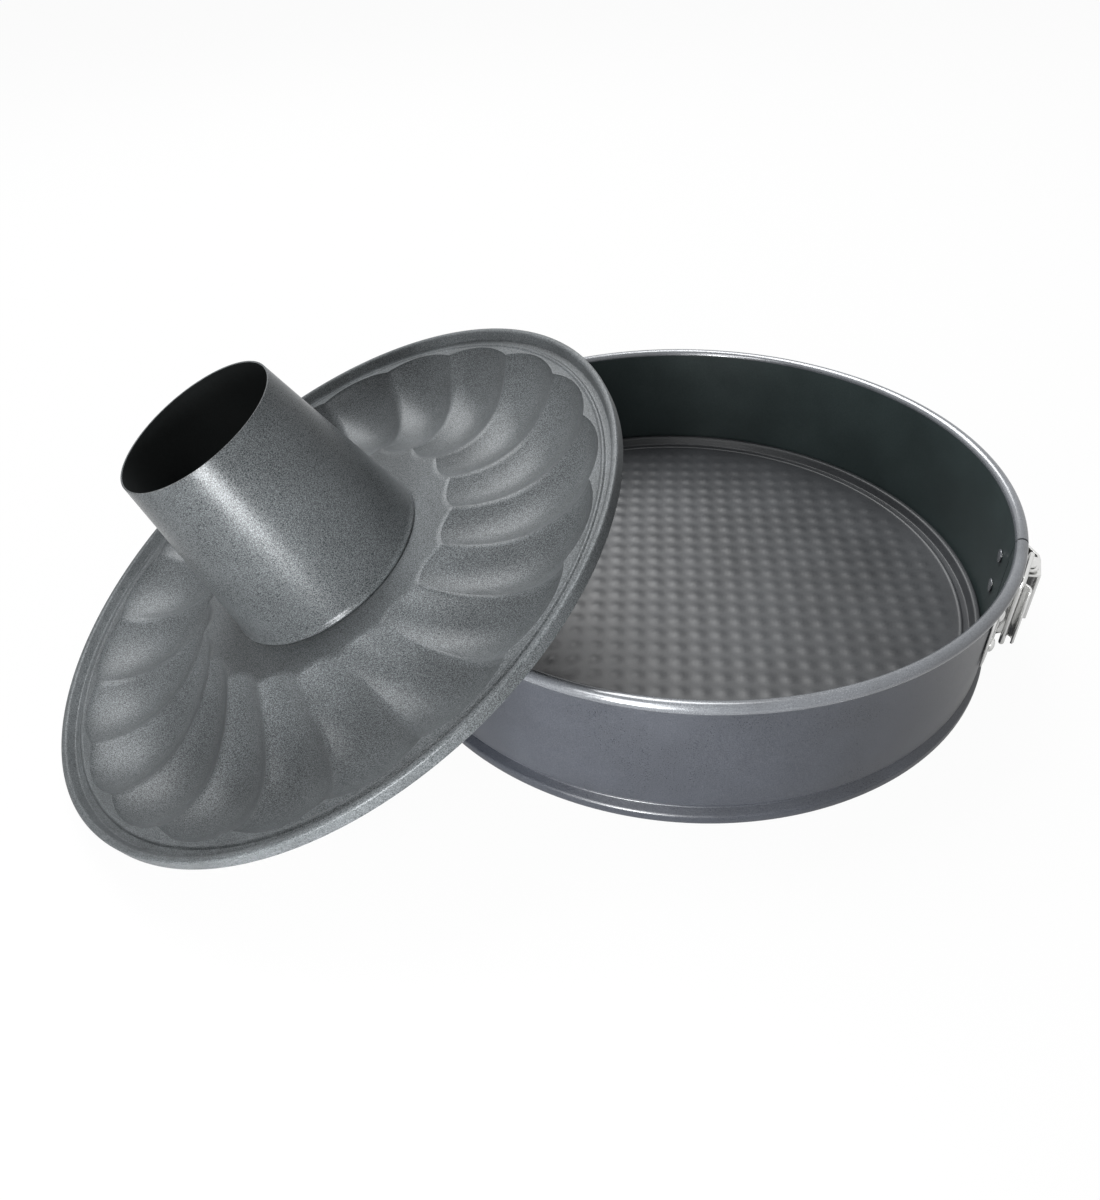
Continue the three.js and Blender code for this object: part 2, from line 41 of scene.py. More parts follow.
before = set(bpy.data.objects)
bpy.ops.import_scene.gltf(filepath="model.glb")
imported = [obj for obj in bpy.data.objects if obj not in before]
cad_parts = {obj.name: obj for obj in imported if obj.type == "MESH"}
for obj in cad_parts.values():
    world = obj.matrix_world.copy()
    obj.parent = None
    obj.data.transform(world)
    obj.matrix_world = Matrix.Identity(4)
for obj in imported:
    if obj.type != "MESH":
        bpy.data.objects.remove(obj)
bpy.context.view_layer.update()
BASE_LOW, BASE_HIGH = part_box("flat_base")
RING_AXIS = Vector(((BASE_LOW.x + BASE_HIGH.x) / 2, (BASE_LOW.y + BASE_HIGH.y) / 2, 0))
SEAT_HEIGHT = BASE_HIGH.z

PHOTO_WIDTH = 1100
CAMERA_FOCUS = 939
CAMERA_SENSOR = 36
CAMERA_PLACE = (0, -0.345069, 0.276683)
CAMERA_RIGHT = (0.98829, 0.14864, -0.03447)
CAMERA_DOWN = (0.06737, -0.62776, -0.77549)
CAMERA_FORWARD = (-0.13691, 0.76408, -0.63042)

# Lengths from here on are in metres and angles in degrees.
MERGE_GAP = 1e-6
SPLIT_GAP = 0.0005
ROLL_SWEEP = 265
ROLL_STEPS = 30
BAND_STEPS = 120
TUBE_STEPS = 144
PIN_STEPS = 28

DIMPLE_CELLS = 6
DIMPLE_ORIGIN = (-0.01168, 0.0325)
DIMPLE_REACH = 0.40
DIMPLED_RADIUS = 0.1165
DIMPLE_FADE = 0.004

FLUTE_FROM_TUBE = 0.0144
FLUTE_PAST_FLOOR = 0.00085
FLUTE_OUTER_END = 0.8
FLUTE_INNER_END = 0.95
FLUTE_COLUMNS = 16
FLUTE_STEPS = 32
FLOOR_STEPS = 6
TUBE_CLEARANCE = 0.0003
LIP_CLEARANCE = 0.0001

RIVET_INNER_HEAD = 0.1288
STAMPED_ROUNDING = 0.00028
STAMPED_FLAT = 1
STAMPED_EDGE = 50

PIVOT_PLACE = Vector((0.1376, 0.005, 0))
BAIL_SEAT = Vector((0.1378, 0.010, 0.035))
BAIL_HOOK = Vector((0.1342, -0.0115, 0.035))
BAIL_HEIGHT = 0.032
BAIL_CORNER = 0.003
BAIL_WIRE = 0.0011
WIRE_STEPS = 14
BEND_STEPS = 7

# In millimetres, as folded() takes its corners.
HALF_SHEET = 0.3
EDGE_INSET = 0.4
ROLL_INSET = 0.1
TUBE_FLOOR = 3.55
RIVET_HEAD = 2.8
RIVET_SHANK = 1.6
RIVET_INSIDE = 128.2
RIVET_WALL = 128.7
RIVET_SEAT = 131.0
RIVET_DOME = 1.5
DOME_STEPS = 8
PIN_HEAD = 2.4
PIN_SHANK = 1.4

GRAIN_HEIGHT = 0.0002
MOTTLE_SCALE = 34
FLECK_END = 0.80

GROUND_SEEN = 0.96
GROUND_MIRRORED = 0.4
SKY_FILL = 0.20

# Sockets of a Mix node that mixes two colours.
MIX_FIRST = 6
MIX_SECOND = 7
MIX_RESULT = 2


def length(name, description, default):
    """A length property in metres."""
    return bpy.props.FloatProperty(
        name=name, description=description, default=default, min=0, unit="LENGTH", precision=5)


def angle(name, description, degrees):
    """An angle property, given in degrees."""
    return bpy.props.FloatProperty(
        name=name, description=description, default=math.radians(degrees), subtype="ANGLE")


def colour(name, description, default):
    """A linear colour property."""
    return bpy.props.FloatVectorProperty(
        name=name, description=description, default=default, min=0, max=1, size=3, subtype="COLOR")


class SpringformSizes(bpy.types.PropertyGroup):
    """Sizes of the ring, the two bases and the tube"""
    sheet: length("Sheet", "Thickness of the coated steel", 0.0006)
    wall_radius: length("Wall radius", "Middle of the ring's wall", 0.1293)
    ring_height: length("Ring height", "Foot to the top of the rolled rim", 0.0625)
    rim_roll: length("Rim roll", "Radius of the rolled rim, at the middle of its sheet", 0.0022)
    base_radius: length("Base radius", "Outside of the turned-down edge of both bases", 0.1281)
    skirt: length("Skirt", "Height of the turned-down edge of both bases", 0.0047)
    dimple_pitch: length("Dimple pitch", "Between the middles of two dimples", 0.0088)
    dimple_height: length("Dimple height", "Rise of a dimple over the floor", 0.00045)
    dimple_turn: angle("Dimple turn", "Turn of the rows of dimples", 4.3)
    flutes: bpy.props.IntProperty(
        name="Flutes", description="Number of flutes round the insert", default=20, min=6, max=60)
    flute_depth: length("Flute depth", "Depth of a flute below the insert's floor", 0.016)
    ridge_share: bpy.props.FloatProperty(
        name="Ridge share", description="Depth of the ridges as a share of the flutes' depth",
        default=0.73, min=0, max=1, subtype="FACTOR")
    scallop: length("Scallop", "Reach of a flute's round ends past the ridges", 0.0034)
    flute_twist: angle("Flute twist", "Sweep of a flute from its outer to its inner end", -13)
    flute_bow: angle("Flute bow", "How far the middle of a flute bows out of an even sweep", 1.9)
    flute_phase: angle("Flute phase", "Heading of the first ridge", 8.7)
    tube_foot: length("Tube foot radius", "Outside of the tube where it leaves the floor", 0.0416)
    tube_mouth: length("Tube mouth radius", "Outside of the tube at its mouth", 0.0316)
    tube_height: length("Tube height", "Height of the tube over the insert's floor", 0.0727)
    lean_tilt: angle("Lean", "Tilt of the insert where it leans on the ring", 26.74796)
    lean_heading: angle("Lean heading", "Direction in which the insert slopes down", 206.9)
    lean_away: bpy.props.FloatVectorProperty(
        name="Lean place", description="Middle of the insert's lip from the foot of the ring's axis",
        default=(-0.1412, -0.0654, 0.0626256), size=3, unit="LENGTH", precision=5)
    clasp_heading: angle("Clasp heading", "Direction of the split and its clasp", -13)


class SpringformFinish(bpy.types.PropertyGroup):
    """Colours of the coats and the plating"""
    ring_outside: colour("Ring outside", "Coat on the outside of the ring", (0.008, 0.010, 0.016))
    ring_inside: colour("Ring inside", "Coat on the inside of the ring", (0.013, 0.020, 0.020))
    floor_coat: colour("Floor coat", "Coat of the flat base", (0.011, 0.012, 0.0135))
    insert_coat: colour("Insert coat", "Coat of the fluted insert and its tube", (0.009, 0.0115, 0.012))
    # Darker than the insert's coat, as painted shade in the tube's bore.
    tube_inside_painted_shade: colour("Tube inside", "Darker coat inside the tube, painted shade for the bore", (0.007, 0.008, 0.008))
    flecks: colour("Flecks", "Metal flecks in the coats", (0.40, 0.42, 0.44))
    plating: colour("Plating", "Bright plating of the clasp", (0.74, 0.74, 0.73))
    backdrop: colour("Backdrop", "Floor under the set", (0.36, 0.36, 0.36))


def sizes():
    """The sizes set in the sidebar."""
    return bpy.context.scene.springform_sizes


def finish():
    """The colours set in the sidebar."""
    return bpy.context.scene.springform_finish


def folded(corners, steps=4):
    """Points of a bent sheet's line: each corner (radius, height, setback) in millimetres is rounded."""
    points = []
    for i, (r, h, setback) in enumerate(corners):
        here = Vector((r, h)) / 1000
        if setback == 0 or i == 0 or i == len(corners) - 1:
            points.append(here)
            continue
        before = Vector(corners[i - 1][:2]) / 1000 - here
        after = Vector(corners[i + 1][:2]) / 1000 - here
        reach = min(setback / 1000, before.length * 0.48, after.length * 0.48)
        first = here + before.normalized() * reach
        last = here + after.normalized() * reach
        for k in range(steps + 1):
            t = k / steps
            points.append(first * (1 - t) ** 2 + here * 2 * t * (1 - t) + last * t ** 2)
    return points


def base_edge():
    """Line of the edge that both bases share, from the floor out to the foot of the skirt."""
    rim = sizes().base_radius * 1000 - EDGE_INSET
    return folded([
        (rim - 9.0, -3.8, 0),
        (rim - 7.6, -3.8, 0.4),
        (rim - 6.75, -3.35, 0.5),
        (rim - 6.0, -4.2, 0.4),
        (rim - 3.2, -4.2, 0.7),
        (rim - 1.9, -HALF_SHEET, 0.7),
        (rim, -HALF_SHEET, 0.6),
        (rim, -sizes().skirt * 1000, 0),
    ])


def spun(line, start, sweep, steps):
    """A sheet made by turning a line of (radius, height) points round the upright axis."""
    bm = bmesh.new()
    turn = Matrix.Rotation(start, 3, "Z")
    verts = [bm.verts.new(turn @ Vector((p.x, 0, p.y))) for p in line]
    edges = [bm.edges.new(pair) for pair in zip(verts, verts[1:])]
    bmesh.ops.spin(
        bm, geom=verts + edges, cent=(0, 0, 0), axis=(0, 0, 1), angle=sweep, steps=steps,
        use_merge=math.isclose(abs(sweep), 2 * math.pi), use_duplicate=False)
    return bm


def grown_edges(geometry):
    """Open edges of a step that was just grown."""
    return [e for e in geometry if isinstance(e, bmesh.types.BMEdge) and e.is_boundary]


def grown_verts(geometry):
    """Corners of a step that was just grown."""
    return [v for v in geometry if isinstance(v, bmesh.types.BMVert)]


def settle(bm, place):
    """Joins the seams of a sheet, turns its faces one way and puts it in its place."""
    bmesh.ops.remove_doubles(bm, verts=bm.verts, dist=MERGE_GAP)
    bmesh.ops.recalc_face_normals(bm, faces=bm.faces)
    bmesh.ops.transform(bm, matrix=place, verts=bm.verts)


def piece_from(bm, name, materials, body, node, thickness=0, crease=40):
    """Makes a shaped bmesh a finished piece that rides on a body in place of its plain node.

    A thickness adds a second skin, which takes the material after the first skin's if there is one.
    """
    mesh = bpy.data.meshes.new(name)
    bm.to_mesh(mesh)
    bm.free()
    piece = bpy.data.objects.new(name, mesh)
    bpy.context.scene.collection.objects.link(piece)
    for material in materials:
        mesh.materials.append(material)
    if thickness:
        wall = piece.modifiers.new("Sheet", "SOLIDIFY")
        wall.thickness = thickness
        wall.offset = 0
        wall.use_even_offset = True
        wall.material_offset = min(1, len(materials) - 1)
        with bpy.context.temp_override(object=piece, active_object=piece):
            bpy.ops.object.modifier_apply(modifier=wall.name)
    piece.data.shade_smooth()
    piece.data.set_sharp_from_angle(angle=math.radians(crease))
    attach(piece, body)
    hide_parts(node)


def blank_material(name):
    """A new material with its nodes and links."""
    material = bpy.data.materials.new(name)
    material.use_nodes = True
    return material, material.node_tree.nodes, material.node_tree.links


def noise(nodes, links, place, detail):
    """A noise texture over the given coordinates."""
    texture = nodes.new("ShaderNodeTexNoise")
    texture.inputs["Detail"].default_value = detail
    links.new(place, texture.inputs["Vector"])
    return texture


def ramped(nodes, links, source, low, high, to_low, to_high):
    """A value moved from one range to another."""
    mapped = nodes.new("ShaderNodeMapRange")
    mapped.inputs["From Min"].default_value = low
    mapped.inputs["From Max"].default_value = high
    mapped.inputs["To Min"].default_value = to_low
    mapped.inputs["To Max"].default_value = to_high
    links.new(source, mapped.inputs["Value"])
    return mapped.outputs["Result"]


def joined(nodes, links, operation, first, second):
    """Two values put together by one operation."""
    node = nodes.new("ShaderNodeMath")
    node.operation = operation
    links.new(first, node.inputs[0])
    links.new(second, node.inputs[1])
    return node.outputs["Value"]


def ray_masks(nodes, links):
    """Masks of the camera's own rays, and of those that metal and glass send on."""
    path = nodes.new("ShaderNodeLightPath")
    glossy = path.outputs["Is Glossy Ray"]
    sharp = joined(nodes, links, "MAXIMUM", glossy, path.outputs["Is Transmission Ray"])
    return path.outputs["Is Camera Ray"], sharp


def fleck_group():
    """Node group of a flecked coat: mottled colour, metal flecks, uneven gloss and a fine grain."""
    group = bpy.data.node_groups.get("Flecked coat")
    if group:
        return group
    group = bpy.data.node_groups.new("Flecked coat", "ShaderNodeTree")
    face = group.interface
    face.new_socket("Coat", in_out="INPUT", socket_type="NodeSocketColor")
    face.new_socket("Fleck", in_out="INPUT", socket_type="NodeSocketColor")
    for name in ("Fleck share", "Fleck start", "Grain", "Gloss"):
        face.new_socket(name, in_out="INPUT", socket_type="NodeSocketFloat")
    face.new_socket("Color", in_out="OUTPUT", socket_type="NodeSocketColor")
    for name in ("Metallic", "Roughness", "Height"):
        face.new_socket(name, in_out="OUTPUT", socket_type="NodeSocketFloat")
    nodes = group.nodes
    links = group.links
    given = nodes.new("NodeGroupInput")
    made = nodes.new("NodeGroupOutput")
    place = nodes.new("ShaderNodeTexCoord").outputs["Object"]

    grain = noise(nodes, links, place, 2)
    grain.inputs["Roughness"].default_value = 0.65
    links.new(given.outputs["Grain"], grain.inputs["Scale"])
    specks = nodes.new("ShaderNodeMapRange")
    specks.interpolation_type = "SMOOTHSTEP"
    specks.inputs["From Max"].default_value = FLECK_END
    links.new(given.outputs["Fleck start"], specks.inputs["From Min"])
    links.new(grain.outputs["Fac"], specks.inputs["Value"])
    metal = joined(nodes, links, "MULTIPLY", specks.outputs["Result"], given.outputs["Fleck share"])
    links.new(metal, made.inputs["Metallic"])

    cloud = noise(nodes, links, place, 3)
    cloud.inputs["Scale"].default_value = MOTTLE_SCALE
    shade = ramped(nodes, links, cloud.outputs["Fac"], 0.3, 0.7, 0.85, 1.15)
    tone = nodes.new("ShaderNodeMix")
    tone.data_type = "RGBA"
    links.new(metal, tone.inputs["Factor"])
    links.new(given.outputs["Coat"], tone.inputs[MIX_FIRST])
    links.new(given.outputs["Fleck"], tone.inputs[MIX_SECOND])
    mottle = nodes.new("ShaderNodeVectorMath")
    mottle.operation = "SCALE"
    links.new(tone.outputs[MIX_RESULT], mottle.inputs[0])
    links.new(shade, mottle.inputs["Scale"])
    links.new(mottle.outputs["Vector"], made.inputs["Color"])

    uneven = ramped(nodes, links, grain.outputs["Fac"], 0.3, 0.7, -0.05, 0.06)
    worn = ramped(nodes, links, cloud.outputs["Fac"], 0.3, 0.7, -0.03, 0.03)
    gloss = joined(nodes, links, "ADD", uneven, worn)
    links.new(joined(nodes, links, "ADD", gloss, given.outputs["Gloss"]), made.inputs["Roughness"])
    links.new(grain.outputs["Fac"], made.inputs["Height"])
    return group


def coat_material(name, coat, share, start, grain, roughness, relief, shine):
    """Baked-on coat: a dark satin paint with fine metal flecks in it."""
    material = bpy.data.materials.get(name)
    if material:
        return material
    material, nodes, links = blank_material(name)
    shader = nodes["Principled BSDF"]
    shader.inputs["Specular IOR Level"].default_value = shine
    flecks = nodes.new("ShaderNodeGroup")
    flecks.node_tree = fleck_group()
    flecks.inputs["Coat"].default_value = (*coat, 1)
    flecks.inputs["Fleck"].default_value = (*finish().flecks, 1)
    flecks.inputs["Fleck share"].default_value = share
    flecks.inputs["Fleck start"].default_value = start
    flecks.inputs["Grain"].default_value = grain
    flecks.inputs["Gloss"].default_value = roughness
    peel = nodes.new("ShaderNodeBump")
    peel.inputs["Strength"].default_value = relief
    peel.inputs["Distance"].default_value = GRAIN_HEIGHT
    links.new(flecks.outputs["Color"], shader.inputs["Base Color"])
    links.new(flecks.outputs["Metallic"], shader.inputs["Metallic"])
    links.new(flecks.outputs["Roughness"], shader.inputs["Roughness"])
    links.new(flecks.outputs["Height"], peel.inputs["Height"])
    links.new(peel.outputs["Normal"], shader.inputs["Normal"])
    return material


def ring_outside():
    """Bluish coat on the outside of the ring."""
    return coat_material(
        "Ring outside coat", finish().ring_outside, share=0.09, start=0.20, grain=2600,
        roughness=0.33, relief=0.05, shine=0.5)


def ring_inside():
    """Dark greenish coat on the inside of the ring."""
    return coat_material(
        "Ring inside coat", finish().ring_inside, share=0.03, start=0.20, grain=2400,
        roughness=0.42, relief=0.08, shine=0.2)


def rim_coat():
    """Glossier coat with more metal in it, on the rolled rim and the rivets' inner heads."""
    return coat_material(
        "Rim coat", finish().ring_outside, share=0.30, start=0.0, grain=2600,
        roughness=0.22, relief=0.02, shine=0.9)


def floor_coat():
    """Coat of the flat base."""
    return coat_material(
        "Floor coat", finish().floor_coat, share=0.05, start=0.20, grain=2300,
        roughness=0.44, relief=0.12, shine=0.3)


def plate_coat():
    """Flecked coat of the fluted plate."""
    return coat_material(
        "Plate coat", finish().insert_coat, share=0.27, start=0.26, grain=2700,
        roughness=0.43, relief=0.12, shine=0.1)


def tube_coat():
    """Flecked coat of the tube, a little glossier than the plate's."""
    return coat_material(
        "Tube coat", finish().insert_coat, share=0.24, start=0.26, grain=2700,
        roughness=0.30, relief=0.12, shine=0.1)


def tube_inside_painted_shade():
    """Dull coat inside the tube, darker and with fewer flecks than the outside: painted shade in the bore."""
    return coat_material(
        "Tube inside painted shade coat", finish().tube_inside_painted_shade, share=0.01, start=0.30, grain=1900,
        roughness=0.62, relief=0.1, shine=0.05)


def plating():
    """Bright plating with faint drawing lines and handling marks."""
    material = bpy.data.materials.get("Bright plating")
    if material:
        return material
    material, nodes, links = blank_material("Bright plating")
    shader = nodes["Principled BSDF"]
    shader.inputs["Metallic"].default_value = 1
    place = nodes.new("ShaderNodeTexCoord")
    stretch = nodes.new("ShaderNodeMapping")
    stretch.inputs["Scale"].default_value = (900, 900, 60)
    links.new(place.outputs["Object"], stretch.inputs["Vector"])
    lines = noise(nodes, links, stretch.outputs["Vector"], 3)
    lines.inputs["Scale"].default_value = 1
    tint = nodes.new("ShaderNodeMix")
    tint.data_type = "RGBA"
    tint.inputs[MIX_FIRST].default_value = (*[c * 0.86 for c in finish().plating], 1)
    tint.inputs[MIX_SECOND].default_value = (*finish().plating, 1)
    links.new(lines.outputs["Fac"], tint.inputs["Factor"])
    links.new(tint.outputs[MIX_RESULT], shader.inputs["Base Color"])
    rough = ramped(nodes, links, lines.outputs["Fac"], 0, 1, 0.12, 0.30)
    links.new(rough, shader.inputs["Roughness"])
    return material


def band_line():
    """Line of the ring's strip from its turned-in foot to the end of its rolled rim."""
    wall = sizes().wall_radius * 1000
    roll = sizes().rim_roll * 1000 - ROLL_INSET
    top = sizes().ring_height * 1000 - roll - HALF_SHEET
    line = folded([
        (wall - 1.1, HALF_SHEET, 0),
        (wall + 1.5, HALF_SHEET, 1.4),
        (wall + 1.5, 4.08, 0.7),
        (wall - 1.8, 5.9, 0.7),
        (wall - 1.8, 7.1, 0.7),
        (wall, 8.64, 0.9),
        (wall, 26, 0),
        (wall, 44, 0),
        (wall, top, 0),
    ])
    middle = Vector((wall + roll, top)) / 1000
    for k in range(1, ROLL_STEPS + 1):
        turned = math.radians(180 - ROLL_SWEEP * k / ROLL_STEPS)
        line.append(middle + Vector((math.cos(turned), math.sin(turned))) * roll / 1000)
    return line


def clasp_place():
    """Frame of the ring and its clasp: the ring's axis, with X out through the split."""
    return Matrix.Translation(RING_AXIS) @ Matrix.Rotation(sizes().clasp_heading, 4, "Z")


class SPRINGFORM_OT_ring(bpy.types.Operator):
    """Builds the two halves of the ring's band"""
    bl_idname = "springform.ring"
    bl_label = "Ring band"

    def execute(self, context):
        split = SPLIT_GAP / sizes().wall_radius
        roll_foot = sizes().ring_height - 2 * sizes().rim_roll
        coats = (ring_inside(), ring_outside(), rim_coat(), rim_coat())
        for name, body, start, sweep in (
            ("band_front", "pan", -split, -(math.pi - split)),
            ("band_back", "band_back", split, math.pi - split),
        ):
            bm = spun(band_line(), start, sweep, BAND_STEPS)
            settle(bm, clasp_place())
            for face in bm.faces:
                if face.calc_center_median().z > roll_foot:
                    face.material_index = coats.index(rim_coat())
            piece_from(bm, name, coats, body, name + "_half", sizes().sheet)
        return {"FINISHED"}


def dimple_rise(x, y):
    """Height of the floor's round dimples at a place on the flat base."""
    pitch = sizes().dimple_pitch
    turn = sizes().dimple_turn
    first_across, first_along = DIMPLE_ORIGIN
    across = (x * math.cos(turn) + y * math.sin(turn) - first_across) / pitch
    along = (y * math.cos(turn) - x * math.sin(turn) - first_along) / pitch
    off = math.hypot(across - round(across), along - round(along))
    swell = max(0, 1 - (off / DIMPLE_REACH) ** 2)
    edge = min(1, max(0, (DIMPLED_RADIUS - math.hypot(x, y)) / DIMPLE_FADE))
    return sizes().dimple_height * swell ** 1.5 * edge


class SPRINGFORM_OT_flat_base(bpy.types.Operator):
    """Builds the flat base with its dimpled floor"""
    bl_idname = "springform.flat_base"
    bl_label = "Flat base"

    def execute(self, context):
        edge = base_edge()
        radius = edge[0].x
        cell = sizes().dimple_pitch / DIMPLE_CELLS
        count = 2 * math.ceil(radius / cell)
        bm = bmesh.new()
        bmesh.ops.create_grid(
            bm, x_segments=count, y_segments=count, size=count * cell / 2,
            matrix=Matrix.Rotation(sizes().dimple_turn, 4, "Z"))
        outer = [f for f in bm.faces if f.calc_center_median().xy.length > radius - cell * 0.5]
        bmesh.ops.delete(bm, geom=outer, context="FACES")
        for vert in bm.verts:
            if vert.is_boundary:
                vert.co.xy = vert.co.xy.normalized() * radius
            vert.co.z = edge[0].y + dimple_rise(vert.co.x, vert.co.y)
        brim = [e for e in bm.edges if e.is_boundary]
        for point in edge[1:]:
            grown = bmesh.ops.extrude_edge_only(bm, edges=brim)["geom"]
            for vert in grown_verts(grown):
                vert.co.xy = vert.co.xy.normalized() * point.x
                vert.co.z = point.y
            brim = grown_edges(grown)
        settle(bm, Matrix.Translation(RING_AXIS + Vector((0, 0, SEAT_HEIGHT))))
        piece_from(
            bm, "dimpled_base", (floor_coat(),), "base", "flat_base", sizes().sheet)
        return {"FINISHED"}


def insert_place():
    """Where the leaning insert stands, from the middle of its lip."""
    turn = Matrix.Rotation(sizes().lean_heading, 4, "Z") @ Matrix.Rotation(sizes().lean_tilt, 4, "Y")
    return Matrix.Translation(RING_AXIS + Vector(sizes().lean_away)) @ turn


def flute_ends(edge):
    """Radii of a flute's inner and outer end on its centre line."""
    return sizes().tube_foot + FLUTE_FROM_TUBE, edge[0].x + FLUTE_PAST_FLOOR


def flute_slope(along):
    """Share of a flute's depth along it, from -1 at its inner to 1 at its outer end."""
    deepest = (FLUTE_INNER_END - FLUTE_OUTER_END) / (FLUTE_INNER_END + FLUTE_OUTER_END)
    peak = (1 - deepest) ** FLUTE_OUTER_END * (1 + deepest) ** FLUTE_INNER_END
    return max(0, 1 - along) ** FLUTE_OUTER_END * max(0, 1 + along) ** FLUTE_INNER_END / peak


def flute_rows(edge):
    """Rows of a flute's grid as functions of the place across it, from the tube out to the skirt."""
    hole = sizes().tube_foot + TUBE_CLEARANCE
    floor = edge[0].y
    inner, outer = flute_ends(edge)
    middle = (outer + inner) / 2
    half = (outer - inner) / 2
    hollow = 1 - sizes().ridge_share

    def end_radius(across, end):
        return middle + end * (half - sizes().scallop * across ** 2)

    rows = []
    for k in range(FLOOR_STEPS):
        share = k / FLOOR_STEPS
        rows.append(lambda w, s=share: (hole + (end_radius(w, -1) - hole) * s, floor))
    for k in range(FLUTE_STEPS + 1):
        along = -math.cos(math.pi * k / FLUTE_STEPS)
        sink = flute_slope(along) * sizes().flute_depth
        rows.append(lambda w, a=along, d=sink: (end_radius(w, a), floor - d * (1 - hollow * w ** 2)))
    for point in edge[1:]:
        rows.append(lambda w, p=point: (max(p.x, end_radius(w, 1) + LIP_CLEARANCE), p.y))
    return rows


class SPRINGFORM_OT_fluted_plate(bpy.types.Operator):
    """Builds the insert's fluted plate"""
    bl_idname = "springform.fluted_plate"
    bl_label = "Fluted plate"

    def execute(self, context):
        edge = base_edge()
        rows = flute_rows(edge)
        flutes = sizes().flutes
        sector = 2 * math.pi / flutes
        inner, outer = flute_ends(edge)
        bm = bmesh.new()
        bmesh.ops.create_grid(bm, x_segments=FLUTE_COLUMNS, y_segments=len(rows) - 1, size=1)
        for vert in bm.verts:
            across = vert.co.x
            row = round((vert.co.y + 1) / 2 * (len(rows) - 1))
            radius, height = rows[row](across)
            inward = min(1, max(0, (outer - radius) / (outer - inner)))
            bend = sizes().flute_twist * inward + sizes().flute_bow * 4 * inward * (1 - inward)
            heading = sizes().flute_phase + bend + sector * (across + 1) / 2
            vert.co = (radius * math.cos(heading), radius * math.sin(heading), height)
        bmesh.ops.spin(
            bm, geom=bm.verts[:] + bm.edges[:] + bm.faces[:], cent=(0, 0, 0), axis=(0, 0, 1),
            angle=sector * (flutes - 1), steps=flutes - 1, use_duplicate=True)
        settle(bm, insert_place())
        piece_from(
            bm, "fluted_plate", (plate_coat(),), "insert", "insert_plate",
            sizes().sheet, crease=65)
        return {"FINISHED"}


class SPRINGFORM_OT_tube(bpy.types.Operator):
    """Builds the insert's tapered tube"""
    bl_idname = "springform.tube"
    bl_label = "Centre tube"

    def execute(self, context):
        foot = sizes().tube_foot * 1000 - HALF_SHEET
        mouth = sizes().tube_mouth * 1000 - HALF_SHEET
        top = sizes().tube_height * 1000 - TUBE_FLOOR
        line = folded([
            (foot + 3.4, -4.7, 0),
            (foot, -4.7, 0.9),
            (foot, -3.3, 0.3),
            (foot + 1.0, -2.7, 0.5),
            (foot + 0.1, -1.2, 0.9),
            (mouth, top, 0),
        ])
        bm = spun(line, 0, 2 * math.pi, TUBE_STEPS)
        settle(bm, insert_place())
        # The inner skin takes the darker, duller coat: painted shade in the bore.
        piece_from(
            bm, "centre_tube", (tube_coat(), tube_inside_painted_shade()), "insert", "insert_tube",
            sizes().sheet)
        return {"FINISHED"}


class SPRINGFORM_OT_rivets(bpy.types.Operator):
    """Builds the four rivets of the clasp's brackets"""
    bl_idname = "springform.rivets"
    bl_label = "Rivets"

    def execute(self, context):
        line = folded([
            (0, RIVET_INSIDE, 0),
            (RIVET_HEAD, RIVET_INSIDE, 0.3),
            (RIVET_HEAD, RIVET_WALL, 0.15),
            (RIVET_SHANK, RIVET_WALL, 0),
            (RIVET_SHANK, RIVET_SEAT, 0),
        ])
        for k in range(DOME_STEPS + 1):
            turned = math.radians(90 * k / DOME_STEPS)
            radius = RIVET_HEAD * math.cos(turned)
            line.append(Vector((radius, RIVET_SEAT + RIVET_DOME * math.sin(turned))) / 1000)
        for side, body, heading in (("hinge", "band_back", 7.0), ("hook", "pan", -10.4)):
            for level, height in (("lower", 0.0275), ("upper", 0.0425)):
                bm = spun(line, 0, 2 * math.pi, PIN_STEPS)
                for face in bm.faces:
                    face.material_index = 1 if face.calc_center_median().z < RIVET_INNER_HEAD else 0
                out = Matrix.Rotation(math.radians(heading), 4, "Z") @ Matrix.Translation((0, 0, height))
                settle(bm, clasp_place() @ out @ Matrix.Rotation(math.pi / 2, 4, "Y"))
                name = f"{side}_rivet_{level}"
                piece_from(bm, name + "_domed", (plating(), rim_coat()), body, name)
        return {"FINISHED"}


class SPRINGFORM_OT_pivot_pin(bpy.types.Operator):
    """Builds the lever's headed pin"""
    bl_idname = "springform.pivot_pin"
    bl_label = "Pivot pin"

    def execute(self, context):
        line = folded([
            (0, 20.9, 0),
            (PIN_HEAD, 20.9, 0.4),
            (PIN_HEAD, 21.8, 0.2),
            (PIN_SHANK, 21.8, 0),
            (PIN_SHANK, 48.2, 0),
            (PIN_HEAD, 48.2, 0.2),
            (PIN_HEAD, 49.1, 0.4),
            (0, 49.1, 0),
        ])
        bm = spun(line, 0, 2 * math.pi, PIN_STEPS)
        settle(bm, clasp_place() @ Matrix.Translation(PIVOT_PLACE))
        piece_from(bm, "headed_pin", (plating(),), "band_back", "lever_pivot_pin")
        return {"FINISHED"}


